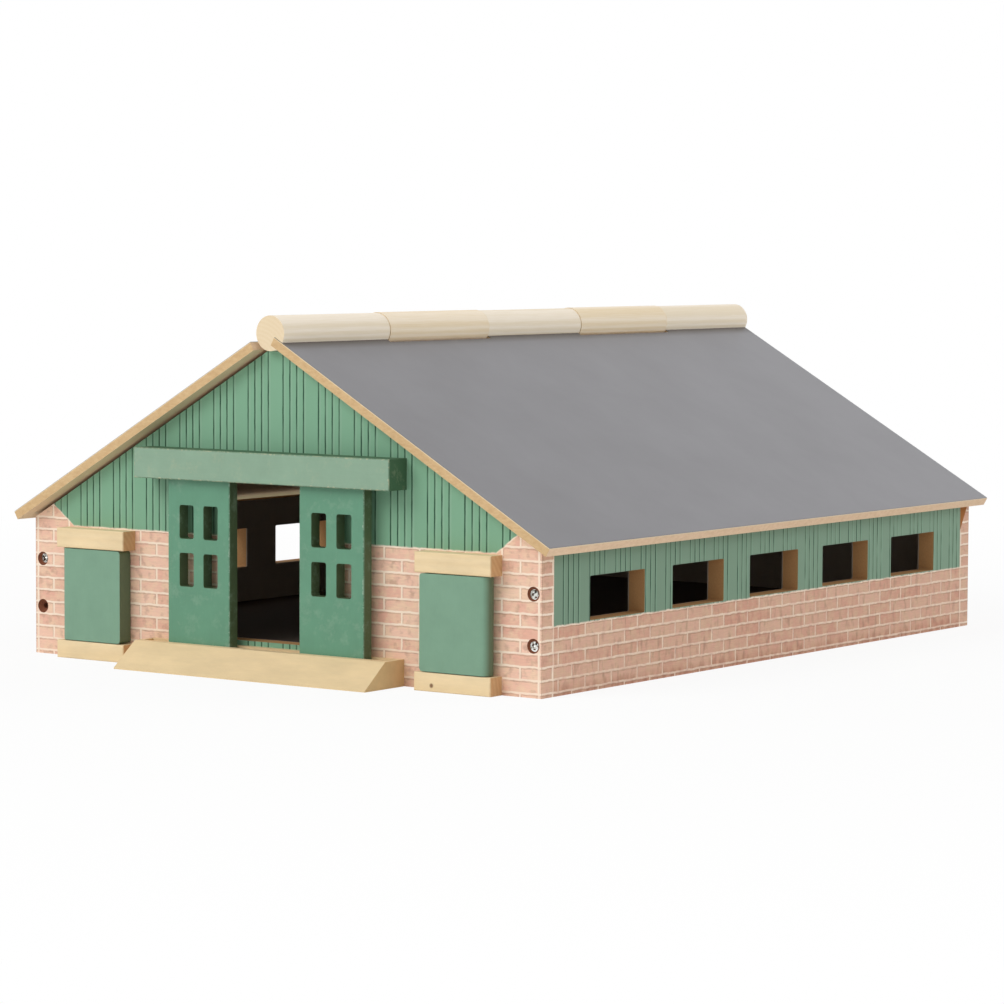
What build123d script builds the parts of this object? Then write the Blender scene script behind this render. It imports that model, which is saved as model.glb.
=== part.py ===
from build123d import *
import os
from math import cos, radians, sin, tan

# Toy barn: printed boards screwed into a house, a two-leaf roof that hinges on a
# knuckled ridge, two sliding main doors and two small doors that turn on pins.
# Millimetres, +X to the right, +Y to the rear, +Z up, ground at Z = 0.

# ---------------------------------------------------------------- driving dimensions
# House
barn_width = 390.0            # over the side walls
barn_length = 510.0           # over both gables
wall_thickness = 12.0
floor_thickness = 6.0
floor_top = 18.0
floor_groove_depth = 4.0
sill_rise = 1.0               # doorway sills above the floor
doorway_corner = 2.0
window_corner = 1.0

# Windows of each side wall
window_count = 5
window_length = 58.0
window_height = 26.0
window_head = 18.5            # wall left above a window
window_pitch = 88.5

# Roof
roof_pitch = 30.0             # degrees
ridge_height = 205.8          # hinge axis above the ground
roof_thickness = 5.8
right_roof_rise = -0.2        # top of the right leaf's board over the plane of the axis
left_roof_rise = 1.8          # the same on the left, whose board rides higher
left_roof_forward = 3.6       # and stands further to the front
eave_overhang = 9.5           # roof past the side walls
front_overhang = 6.0
rear_overhang = 9.0
roof_edge_ease = 0.5

# Ridge hinge
knuckle_count = 5
right_knuckle_diameter = 21.4
left_knuckle_diameter = 22.2
rod_diameter = 5.0
rod_cover = 10.0              # wood left over each end of the rod
tongue_wall = 1.5             # wood between the rod and a panel's tongue
tongue_relief = 1.2           # notch beside the knuckles of the other leaf
cutback_clearance = 2.5       # panel edge to the knuckles of the other leaf

# Main doors, header and ramp
main_door_width = 48.5
main_door_thickness = 8.0
door_lap = 3.5                # door beyond the doorway's edge
doorway_top = 120.0
header_bottom = 116.0
header_height = 18.5
header_depth = 17.4
header_end_wall = 4.0
ramp_height = 16.0
ramp_flat = 18.5
ramp_reach = 38.0
ramp_toe = 0.8
ramp_end_wall = 2.5
track_centre = 8.5            # middle of the grooves in front of the gable
header_groove_depth = 7.0
ramp_groove_depth = 4.5
left_door_rest = 26.2         # inner edge from the middle, as the doors stand
right_door_rest = 27.5

# Four lights cut through each main door
light_width = 11.2
light_height = 20.6
light_bar = 7.7               # upright bar between the lights
light_rail = 8.6              # cross bar between the lights
light_sill = 50.6             # lowest edge of the lights above the ground
light_corner = 1.5

# Small doors and their rails
small_door_width = 48.5
small_door_height = 57.3
small_door_thickness = 10.0
small_door_inset = 31.0       # rounded edge from the barn's corner
small_door_corner = 2.0
small_door_lap = 3.5
stand_off = 0.8               # back of a small door to the gable
rail_depth = 11.5
lower_rail_height = 11.0
upper_rail_height = 12.0
rail_inner_end = 3.5          # rail beyond the door, towards the middle
rail_outer_end = 3.0
pin_diameter = 3.0
pin_in_door = 10.0
pin_in_rail = 6.0

# Screws that hold the gables to the side walls
screw_diameter = 3.5
screw_head = 7.0
screw_length = 35.0
screw_sink = 0.8              # head below the face of the gable
screw_angle = 90.0            # of the head's cone, degrees
screw_heights = (30.0, 60.0)

# Clearances
groove_clearance = 0.4        # each side of a sliding door
track_clearance = 0.3         # under a sliding door
head_clearance = 0.5          # over a sliding door
stop_clearance = 0.5          # at the ends of the doors' travel
turn_clearance = 0.5          # over and under a small door
knuckle_clearance = 0.3       # between ridge knuckles
cradle_clearance = 0.3        # round the end knuckles
seat_clearance = 0.1          # roof panels to the gables
wall_clearance = 0.3          # roof panels to the side walls
running_clearance = 0.08      # radial, round a pin that turns
glue_clearance = 0.02         # round what is glued in
screw_clearance = 0.05        # radial, round a screw
groove_play = 0.2             # over and beside the floor board
hole_play = 0.3               # past the end of a pin, rod or screw
edge_ease = 0.5

# ---------------------------------------------------------------- derived values
half_width = barn_width / 2
wall_centre = half_width - wall_thickness / 2
inner_face = half_width - wall_thickness
# The origin is the middle of the footprint, with the ramp and the roof.
front_y = (ramp_reach - barn_length - rear_overhang) / 2
rear_y = front_y + barn_length
middle_y = front_y + barn_length / 2
inner_front_y = front_y + wall_thickness
inner_rear_y = rear_y - wall_thickness
inner_length = barn_length - 2 * wall_thickness

slope_cos = cos(radians(roof_pitch))
slope_sin = sin(radians(roof_pitch))
roof_front_y = front_y - front_overhang
roof_length = front_overhang + barn_length + rear_overhang
roof_middle_y = roof_front_y + roof_length / 2
slope_apex = ridge_height + (right_roof_rise - roof_thickness - seat_clearance) / slope_cos
gable_shoulder = slope_apex - half_width * tan(radians(roof_pitch))
wall_height = gable_shoulder - wall_clearance
window_middle = wall_height - window_head - window_height / 2
eave_x = half_width + eave_overhang

knuckle_length = roof_length / knuckle_count
larger_knuckle = max(left_knuckle_diameter, right_knuckle_diameter)
cutback = larger_knuckle / 2 + cutback_clearance
tongue_start = rod_diameter / 2 + tongue_wall
rod_length = roof_length - 2 * rod_cover

doorway_half = main_door_width - door_lap
doorway_sill = floor_top + sill_rise
track_half = doorway_half + main_door_width + stop_clearance
track_y = front_y - track_centre
groove_width = main_door_thickness + 2 * groove_clearance
main_door_bottom = ramp_height - ramp_groove_depth + track_clearance
main_door_top = header_bottom + header_groove_depth - head_clearance
main_door_height = main_door_top - main_door_bottom

small_door_outer = half_width - small_door_inset
small_door_inner = small_door_outer - small_door_width
pin_x = small_door_outer - small_door_thickness / 2
pin_y = front_y - stand_off - small_door_thickness / 2
small_door_bottom = lower_rail_height + turn_clearance
small_door_top = small_door_bottom + small_door_height
upper_rail_bottom = small_door_top + turn_clearance
rail_inner = small_door_inner - rail_inner_end
rail_length = rail_inner_end + small_door_width + rail_outer_end

LEFT, RIGHT = -1, 1
SIDES = {LEFT: "left", RIGHT: "right"}
roof_rise = {LEFT: left_roof_rise, RIGHT: right_roof_rise}
roof_forward = {LEFT: left_roof_forward, RIGHT: 0.0}
roof_reach = {
    side: (eave_x - roof_rise[side] * slope_sin) / slope_cos for side in SIDES
}                             # hinge axis to the eave, along the slope
outside_front = Plane(origin=(0, front_y, 0), x_dir=(1, 0, 0), z_dir=(0, -1, 0))
outside_rear = Plane(origin=(0, rear_y, 0), x_dir=(-1, 0, 0), z_dir=(0, 1, 0))
screw_places = [(side * wall_centre, height) for side in SIDES for height in screw_heights]


def save(piece, node):
    """Label a finished piece and write it to its own file."""
    piece.part.label = node
    export_step(piece.part, "parts/" + node + ".step")


# ---------------------------------------------------------------- screws
def corner_screw():
    """A countersunk screw that points down Z, its head's face at Z = 0."""
    cone = (screw_head - screw_diameter) / 2 / tan(radians(screw_angle / 2))
    with BuildPart() as corner_screw:
        with BuildSketch(Plane.XZ):
            with BuildLine():
                Polyline(
                    (0, 0),
                    (screw_head / 2, 0),
                    (screw_diameter / 2, -cone),
                    (screw_diameter / 2, -screw_length),
                    (0, -screw_length),
                    close=True,
                )
            make_face()
        revolve(axis=Axis.Z)
    return corner_screw.part


def corner_screws(node, plane):
    """The screws of one gable, separate solids in one node."""
    screw = corner_screw()
    with BuildPart() as corner_screws:
        with Locations(plane.offset(-screw_sink)):
            with Locations(*screw_places):
                add(screw)
    save(corner_screws, node)


def screw_holes(plane):
    """Countersink a gable, a little deeper than the screws' heads."""
    sink_radius = screw_head / 2 + screw_sink * tan(radians(screw_angle / 2))
    with Locations(plane):
        with Locations(*screw_places):
            CounterSinkHole(
                radius=screw_diameter / 2 + screw_clearance,
                counter_sink_radius=sink_radius + screw_clearance,
                depth=wall_thickness,
                counter_sink_angle=screw_angle,
            )


# ---------------------------------------------------------------- house: boards
def gable_outline():
    """A gable's outline: square shoulders, two slopes and a cradle for the ridge."""
    with BuildSketch() as outline:
        with BuildLine():
            Polyline(
                (-half_width, 0),
                (half_width, 0),
                (half_width, gable_shoulder),
                (0, slope_apex),
                (-half_width, gable_shoulder),
                close=True,
            )
        make_face()
        with Locations((0, ridge_height)):
            Circle(right_knuckle_diameter / 2 + cradle_clearance, mode=Mode.SUBTRACT)
    return outline.sketch


def cut_opening(left, right, top):
    """Cut an opening above the doorway sill into the sketch of the front gable."""
    with Locations(((left + right) / 2, (doorway_sill + top) / 2)):
        RectangleRounded(
            right - left, top - doorway_sill, doorway_corner, mode=Mode.SUBTRACT
        )


def front_gable():
    small_inner = small_door_inner + small_door_lap
    small_outer = pin_x - small_door_lap
    small_top = small_door_top - small_door_lap
    outline = gable_outline()
    with BuildPart() as front_gable:
        with BuildSketch(outside_front):
            add(outline)
            cut_opening(-doorway_half, doorway_half, doorway_top)
            cut_opening(small_inner, small_outer, small_top)
            cut_opening(-small_outer, -small_inner, small_top)
        extrude(amount=-wall_thickness)
        screw_holes(outside_front)
    save(front_gable, "front_gable")


def rear_gable():
    outline = gable_outline()
    with BuildPart() as rear_gable:
        with BuildSketch(outside_rear):
            add(outline)
        extrude(amount=-wall_thickness)
        screw_holes(outside_rear)
    save(rear_gable, "rear_gable")


def side_wall(side):
    """A side wall between the gables: windows, floor groove and screw pilots."""
    groove_height = floor_thickness + groove_play
    groove_middle = (
        side * (inner_face + floor_groove_depth / 2),
        middle_y,
        floor_top - floor_thickness + groove_height / 2,
    )
    pilot_depth = screw_sink + screw_length - wall_thickness + hole_play
    wall_x = side * wall_centre
    wall_ends = (
        Plane(origin=(wall_x, inner_front_y, 0), x_dir=(1, 0, 0), z_dir=(0, -1, 0)),
        Plane(origin=(wall_x, inner_rear_y, 0), x_dir=(-1, 0, 0), z_dir=(0, 1, 0)),
    )
    with BuildPart() as side_wall:
        with BuildSketch(Plane.YZ.offset(wall_x)):
            with Locations((middle_y, wall_height / 2)):
                Rectangle(inner_length, wall_height)
            with Locations((middle_y, window_middle)):
                with GridLocations(window_pitch, 1, window_count, 1):
                    RectangleRounded(
                        window_length, window_height, window_corner, mode=Mode.SUBTRACT
                    )
        extrude(amount=wall_thickness / 2, both=True)
        with Locations(groove_middle):
            Box(floor_groove_depth, inner_length, groove_height, mode=Mode.SUBTRACT)
        with Locations(*wall_ends):
            with Locations(*[(0, height) for height in screw_heights]):
                Hole(screw_diameter / 2 + screw_clearance, depth=pilot_depth)
    save(side_wall, SIDES[side] + "_wall")


def floor_board():
    width = 2 * (inner_face + floor_groove_depth - groove_play)
    with BuildPart() as floor_board:
        with Locations((0, middle_y, floor_top - floor_thickness / 2)):
            Box(width, inner_length, floor_thickness)
    save(floor_board, "floor_board")


# ---------------------------------------------------------------- house: timber
def cut_track(bottom, top):
    """Cut the doors' groove, closed at both ends, into the part being built."""
    with Locations((0, track_y, (bottom + top) / 2)):
        Box(2 * track_half, groove_width, top - bottom, mode=Mode.SUBTRACT)


def ease_front(piece):
    """Take the sharpness off the edges of a timber's front face."""
    chamfer(piece.faces().sort_by(Axis.Y)[0].edges(), length=edge_ease)


def door_header():
    length = 2 * (track_half + header_end_wall)
    centre = (0, front_y - header_depth / 2, header_bottom + header_height / 2)
    with BuildPart() as door_header:
        with Locations(centre):
            Box(length, header_depth, header_height)
        ease_front(door_header)
        cut_track(header_bottom, header_bottom + header_groove_depth)
    save(door_header, "door_header")


def ramp():
    length = 2 * (track_half + ramp_end_wall)
    with BuildPart() as ramp:
        with BuildSketch(Plane.YZ):
            with BuildLine():
                Polyline(
                    (front_y, 0),
                    (front_y, ramp_height),
                    (front_y - ramp_flat, ramp_height),
                    (front_y - ramp_reach, ramp_toe),
                    (front_y - ramp_reach, 0),
                    close=True,
                )
            make_face()
        extrude(amount=length / 2, both=True)
        cut_track(ramp_height - ramp_groove_depth, ramp_height)
    save(ramp, "ramp")


def rail(side, level, bottom, height, pin_face):
    """A rail glued over or under a small door, with the hole for its pin."""
    centre = (
        side * (rail_inner + rail_length / 2),
        front_y - rail_depth / 2,
        bottom + height / 2,
    )
    with BuildPart() as rail:
        with Locations(centre):
            Box(rail_length, rail_depth, height)
        ease_front(rail)
        with Locations(pin_face):
            Hole(pin_diameter / 2 + running_clearance, depth=pin_in_rail + hole_play)
    save(rail, level + "_rail_" + SIDES[side])


# ---------------------------------------------------------------- doors
def main_door(side, rest):
    middle_x = side * (rest + main_door_width / 2)
    lights_middle = light_sill + light_height + light_rail / 2
    with BuildPart() as main_door:
        with BuildSketch(Plane(origin=(0, track_y, 0), x_dir=(1, 0, 0), z_dir=(0, -1, 0))):
            with Locations((middle_x, main_door_bottom + main_door_height / 2)):
                Rectangle(main_door_width, main_door_height)
            with Locations((middle_x, lights_middle)):
                with GridLocations(light_width + light_bar, light_height + light_rail, 2, 2):
                    RectangleRounded(
                        light_width, light_height, light_corner, mode=Mode.SUBTRACT
                    )
        extrude(amount=main_door_thickness / 2, both=True)
        faces = main_door.faces().filter_by(Axis.Y)
        chamfer([face.outer_wire().edges() for face in faces], length=edge_ease)
    save(main_door, "main_door_" + SIDES[side])


def small_door(side):
    """A small door whose outer edge is rounded about its pins."""
    square_width = small_door_width - small_door_thickness / 2
    pin_hole = pin_diameter / 2 + glue_clearance
    with BuildPart() as small_door:
        with BuildSketch(Plane.XY.offset(small_door_bottom)):
            with Locations((side * pin_x, pin_y)):
                Circle(small_door_thickness / 2)
            with Locations((side * (pin_x - square_width / 2), pin_y)):
                Rectangle(square_width, small_door_thickness)
        extrude(amount=small_door_height)
        free_edge = small_door.faces().filter_by(Axis.X)[0]
        fillet(free_edge.edges().filter_by(Axis.Y), radius=small_door_corner)
        with Locations(
            Plane(origin=(side * pin_x, pin_y, small_door_top)),
            Plane(origin=(side * pin_x, pin_y, small_door_bottom), z_dir=(0, 0, -1)),
        ):
            Hole(pin_hole, depth=pin_in_door + hole_play)
    save(small_door, "small_door_" + SIDES[side])


def small_door_pins(side):
    """The two pins glued into a small door, each turning in a rail."""
    length = pin_in_door + turn_clearance + pin_in_rail
    offset = small_door_height / 2 - pin_in_door + length / 2
    door_middle = small_door_bottom + small_door_height / 2
    with BuildPart() as small_door_pins:
        for end in (-1, 1):
            with Locations((side * pin_x, pin_y, door_middle + end * offset)):
                Cylinder(pin_diameter / 2, length)
    save(small_door_pins, "small_door_" + SIDES[side] + "_pins")


# ---------------------------------------------------------------- roof
def slope_plane(side):
    """The plane through the hinge axis along one slope, its X down the slope."""
    return Plane(
        origin=(0, roof_middle_y, ridge_height),
        x_dir=(side * slope_cos, 0, -slope_sin),
        z_dir=(side * slope_sin, 0, slope_cos),
    )


def knuckle_side(number):
    """The odd knuckles belong to the right leaf, the even ones to the left."""
    return RIGHT if number % 2 else LEFT


def knuckle_middle(number):
    """The middle of a knuckle along the ridge, from the middle of the roof."""
    return (number - (knuckle_count + 1) / 2) * knuckle_length


def roof_underside(side):
    """The plane of the lower face of a leaf's board."""
    return slope_plane(side).offset(roof_rise[side] - roof_thickness)


def roof_panel(side):
    """A roof board with tongues for its knuckles, cut back round the others."""
    others = [
        number for number in range(1, knuckle_count + 1) if knuckle_side(number) != side
    ]
    with BuildPart() as roof_panel:
        with BuildSketch(roof_underside(side)):
            middle = (tongue_start + roof_reach[side]) / 2
            with Locations((middle, -side * roof_forward[side])):
                Rectangle(roof_reach[side] - tongue_start, roof_length)
            for number in others:
                open_end = roof_forward[side] if number == 1 else 0.0
                along = side * (knuckle_middle(number) - open_end / 2)
                with Locations(((tongue_start + cutback) / 2, along)):
                    Rectangle(
                        cutback - tongue_start,
                        knuckle_length + 2 * tongue_relief + open_end,
                        mode=Mode.SUBTRACT,
                    )
        extrude(amount=roof_thickness)
        slope = slope_plane(side)
        top = roof_panel.faces().filter_by(Axis(slope.origin, slope.z_dir)).sort_by(Axis.Z)[-1]
        eave = top.edges().sort_by(Axis.Z)[0]
        ends = top.edges().filter_by(Axis(slope.origin, slope.x_dir)).sort_by(Axis.Y)
        chamfer([eave, ends[0], ends[-1]], length=roof_edge_ease)
    save(roof_panel, "roof_panel_" + SIDES[side])


def ridge_knuckle(number):
    """A length of dowel with the rod's bore and a slot for its leaf's tongue."""
    side = knuckle_side(number)
    turning = side == LEFT
    radius = (left_knuckle_diameter if turning else right_knuckle_diameter) / 2
    bore = rod_diameter / 2 + (running_clearance if turning else glue_clearance)
    centre = (0, roof_middle_y + knuckle_middle(number), ridge_height)
    bore_half = rod_length / 2 + hole_play
    with BuildPart() as ridge_knuckle:
        with Locations(centre):
            Cylinder(radius, knuckle_length - knuckle_clearance, rotation=(90, 0, 0))
        with Locations((0, roof_middle_y, ridge_height)):
            Cylinder(bore, 2 * bore_half, rotation=(90, 0, 0), mode=Mode.SUBTRACT)
        with BuildSketch(roof_underside(side).offset(-glue_clearance)):
            with Locations((tongue_start + radius / 2 - glue_clearance, 0)):
                Rectangle(radius, roof_length)
        extrude(amount=roof_thickness + 2 * glue_clearance, mode=Mode.SUBTRACT)
    save(ridge_knuckle, "ridge_knuckle_" + str(number))


def ridge_rod():
    with BuildPart() as ridge_rod:
        with Locations((0, roof_middle_y, ridge_height)):
            Cylinder(rod_diameter / 2, rod_length, rotation=(90, 0, 0))
    save(ridge_rod, "ridge_rod")


# ---------------------------------------------------------------- build
os.makedirs("parts", exist_ok=True)

front_gable()
rear_gable()
floor_board()
door_header()
ramp()
for side in SIDES:
    side_wall(side)
    rail(
        side,
        "lower",
        0,
        lower_rail_height,
        Plane(origin=(side * pin_x, pin_y, lower_rail_height)),
    )
    rail(
        side,
        "upper",
        upper_rail_bottom,
        upper_rail_height,
        Plane(origin=(side * pin_x, pin_y, upper_rail_bottom), z_dir=(0, 0, -1)),
    )
    small_door(side)
    small_door_pins(side)
    roof_panel(side)
main_door(LEFT, left_door_rest)
main_door(RIGHT, right_door_rest)
for number in range(1, knuckle_count + 1):
    ridge_knuckle(number)
ridge_rod()

corner_screws("corner_screws_front", outside_front)
corner_screws("corner_screws_rear", outside_rear)
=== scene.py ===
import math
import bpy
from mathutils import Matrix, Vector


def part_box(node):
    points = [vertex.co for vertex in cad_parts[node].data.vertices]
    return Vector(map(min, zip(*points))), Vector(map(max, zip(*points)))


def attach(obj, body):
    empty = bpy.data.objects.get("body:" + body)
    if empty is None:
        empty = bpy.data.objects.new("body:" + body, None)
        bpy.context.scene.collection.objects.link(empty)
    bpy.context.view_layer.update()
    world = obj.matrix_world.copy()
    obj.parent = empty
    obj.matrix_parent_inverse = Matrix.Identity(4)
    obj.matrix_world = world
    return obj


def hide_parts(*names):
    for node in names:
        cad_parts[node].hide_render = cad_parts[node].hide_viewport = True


bl_info = {
    "name": "Toy Barn Looks",
    "version": (1, 0, 0),
    "blender": (4, 5, 0),
    "location": "View3D > Sidebar > Toy Barn",
    "description": "Finishes, screws and stage for a toy barn with opening doors",
    "category": "Object",
}

from types import SimpleNamespace

import bpy
from mathutils import Euler, Matrix, Vector

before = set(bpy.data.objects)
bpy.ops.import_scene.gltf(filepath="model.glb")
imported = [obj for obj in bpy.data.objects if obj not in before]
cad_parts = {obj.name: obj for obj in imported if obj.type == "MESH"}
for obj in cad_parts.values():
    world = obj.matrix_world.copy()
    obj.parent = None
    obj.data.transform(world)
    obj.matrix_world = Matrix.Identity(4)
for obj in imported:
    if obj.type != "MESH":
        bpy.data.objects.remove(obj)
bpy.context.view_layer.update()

MM = 1000.0                   # materials work in millimetres, the scene in metres


def box_mm(node):
    """Lowest and highest corner of a CAD node, in millimetres."""
    low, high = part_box(node)
    return low * MM, high * MM


GABLE_LOW, GABLE_HIGH = box_mm("front_gable")
REAR_LOW, REAR_HIGH = box_mm("rear_gable")
RIDGE_LOW, RIDGE_HIGH = box_mm("ridge_knuckle_2")
FRONT_Y = GABLE_LOW.y                              # faces of the two gables
REAR_Y = REAR_HIGH.y
HALF_WIDTH = GABLE_HIGH.x
BOARD = GABLE_HIGH.y - GABLE_LOW.y                 # thickness of the boards
RIDGE_Z = (RIDGE_LOW.z + RIDGE_HIGH.z) / 2
KNUCKLE = RIDGE_HIGH.y - RIDGE_LOW.y
RIDGE_START = FRONT_Y - 6.0                        # the roof stands out by 6 mm
ROOF_PITCH = math.radians(30.0)
SCREWS_LOW, SCREWS_HIGH = box_mm("corner_screws_front")
SCREW_HEAD = 7.0                                   # diameter
SCREW_X = SCREWS_HIGH.x - SCREW_HEAD / 2
SCREW_MIDDLE = (SCREWS_LOW.z + SCREWS_HIGH.z) / 2
SCREW_APART = (SCREWS_HIGH.z - SCREWS_LOW.z - SCREW_HEAD) / 2
DARK_SPOT_X, DARK_SPOT_Z = 124.9, 3.6                        # a dark spot on the right lower rail
SKIN = 0.05                   # how near a face lies to count as on it
INNER_SKIN = 0.8              # the same inside, where the ink's lines wander


# ---------------------------------------------------------------- small tools
def linear(hex_colour):
    """An sRGB hex colour as the linear colour that nodes take."""
    channels = [int(hex_colour[start:start + 2], 16) / 255 for start in (1, 3, 5)]
    return tuple(c / 12.92 if c <= 0.04045 else ((c + 0.055) / 1.055) ** 2.4
                 for c in channels) + (1.0,)


def add_node(tree, kind, inputs=None, output=0, **settings):
    """Add a node with its settings, values and links, and return one of its outputs.

    A sum such as ("SUBTRACT", a, b), as the kind or as an input, makes a Math node.
    """
    if isinstance(kind, tuple):
        settings, inputs = {"operation": kind[0]}, dict(enumerate(kind[1:]))
        kind = "ShaderNodeMath"
    node = tree.nodes.new(kind)
    for setting, value in settings.items():
        setattr(node, setting, value)
    for socket, value in (inputs or {}).items():
        if isinstance(value, tuple) and isinstance(value[0], str):
            value = add_node(tree, value)
        if isinstance(value, bpy.types.NodeSocket):
            tree.links.new(value, node.inputs[socket])
        else:
            node.inputs[socket].default_value = value
    return node.outputs[output] if node.outputs else node


def new_finish(name, roughness, metallic=0.0, specular=0.5):
    """A material with its shader, and the place on the object in millimetres."""
    finish = bpy.data.materials.new(name)
    finish.use_nodes = True
    tree = finish.node_tree
    shader = tree.nodes["Principled BSDF"]
    shader.inputs["Roughness"].default_value = roughness
    shader.inputs["Metallic"].default_value = metallic
    shader.inputs["Specular IOR Level"].default_value = specular
    coordinates = add_node(tree, "ShaderNodeTexCoord", output="Object")
    place = add_node(tree, "ShaderNodeVectorMath", {0: coordinates, "Scale": MM},
                     operation="SCALE")
    return finish, tree, shader, place


def dress(finish, *names):
    """Give CAD nodes a finish in the slots that they have."""
    for name in names:
        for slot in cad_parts[name].material_slots:
            slot.material = finish


def colour(name, description, hex_colour):
    """A colour that a user may change."""
    return bpy.props.FloatVectorProperty(
        name=name, description=description, subtype="COLOR", size=4, min=0.0, max=1.0,
        default=linear(hex_colour))


def millimetres(name, description, default, low=0.0, high=1000.0):
    """A size in millimetres that a user may change."""
    return bpy.props.FloatProperty(
        name=name, description=description, default=default, min=low, max=high)


# ---------------------------------------------------------------- sizes and colours
class BarnPrint(bpy.types.PropertyGroup):
    """The printed sheet of bricks and painted planks on the boards."""
    course: millimetres("Course", "Height of a brick course with its mortar", 7.65)
    gable_brick: millimetres("Gable brick", "Length of a brick on the gables", 26.0)
    wall_brick: millimetres("Wall brick", "Length of a brick on the side walls", 27.6)
    mortar: millimetres("Mortar", "Half the height of a mortar line", 0.78)
    gable_joint: millimetres("Gable joint", "A gable's first joint, from the middle", 81.6)
    outside_joint: millimetres("Outside joint", "The same outside the doors", 179.8)
    wall_joint: millimetres("Wall joint", "A wall's first joint, from the front", 30.4)
    gable_course: millimetres("Gable course", "Lowest joint between the small doors", 5.6)
    low_course: millimetres("Low course", "Lowest joint elsewhere", 2.4)
    gable_brick_top: millimetres("Gable brick top", "Top of the bricks on a gable", 82.0)
    wall_brick_top: millimetres("Wall brick top", "Top of the bricks on a wall", 40.5)
    doorway_side: millimetres("Doorway side", "Where the front's bricks start", 46.0)
    outside: millimetres("Outside", "Middle of the small doors", 140.0)
    pier: millimetres("Pier", "Where a pier starts, from the middle", 180.0)
    shoulder_rise: millimetres("Shoulder rise", "Pier's foot over the brick top", 13.0)
    scuffed_to: millimetres("Scuffed to", "Height of the scuffs on the walls", 7.5)
    plank_group: millimetres("Plank group", "From one group of grooves to the next", 27.0)
    wall_group: millimetres("Wall plank group", "The same on the side walls", 27.15)
    wall_groove: millimetres("Wall groove", "A wall's first groove, from the front", 21.4)
    groove_step: millimetres("Groove step", "Between the grooves of a group", 5.2)
    groove: millimetres("Groove", "Width of a printed groove", 1.1)
    brick: colour("Brick", "Ink of the paler bricks", "#F0C9B3")
    brick_deep: colour("Deep brick", "Ink of the deeper bricks", "#E3AF9A")
    brick_tan: colour("Tan brick", "Browner ink in the bricks", "#ECCEAF")
    # Painted shade: multiplies the bricks on the side faces darker, as those faces catch less
    # light
    side_shade: colour("Side tint", "Deeper ink on the sides", "#EBE4E0")
    smudge: colour("Smudge", "Ink of the dark marks on bricks", "#AC8570")
    scuff: colour("Scuff", "Rubbed ink low on the side walls", "#B4745A")
    joint: colour("Joint", "Ink of the mortar", "#FFEBD7")
    joint_shadow: colour("Joint shadow", "Thin line under the mortar", "#A57D66")
    plank: colour("Plank", "Ink of the gables' planks", "#80AD8F")
    wall_plank: colour("Wall plank", "Greyer ink of the walls' planks", "#86A38C")
    plank_light: colour("Light plank", "Strip beside a groove", "#92B79C")
    groove_ink: colour("Groove ink", "Ink of the grooves", "#284D38")
    torn_from: millimetres("Torn from", "Height where all of the rear edge is bare", 86.0)
    torn_rise: millimetres("Torn rise", "How far the tear drops over the edge", 20.0)
    # Painted shade in part: raw board where the sheet is torn, darkened for the shade under the
    # eave
    torn: colour("Torn edge", "Board where the sheet is torn off", "#A86C3A")
    # Painted shade: the inner faces are given a darker, greyer board for the shade inside the
    # barn
    inside: colour("Inside", "Dark inner face of the boards", "#A0968A")
    hole_radius: millimetres("Hole radius", "Radius of a drilled hole", 4.5)
    # Painted shade: the board round each screw is darkened for the shade in its drilled hole
    hole: colour("Screw hole", "Drilled board round the screws", "#7C4A34")
    board: colour("Board", "Raw fibreboard", "#CDA06E")
    board_dark: colour("Dark board", "Darker fibres of the board", "#A67C50")


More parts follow.
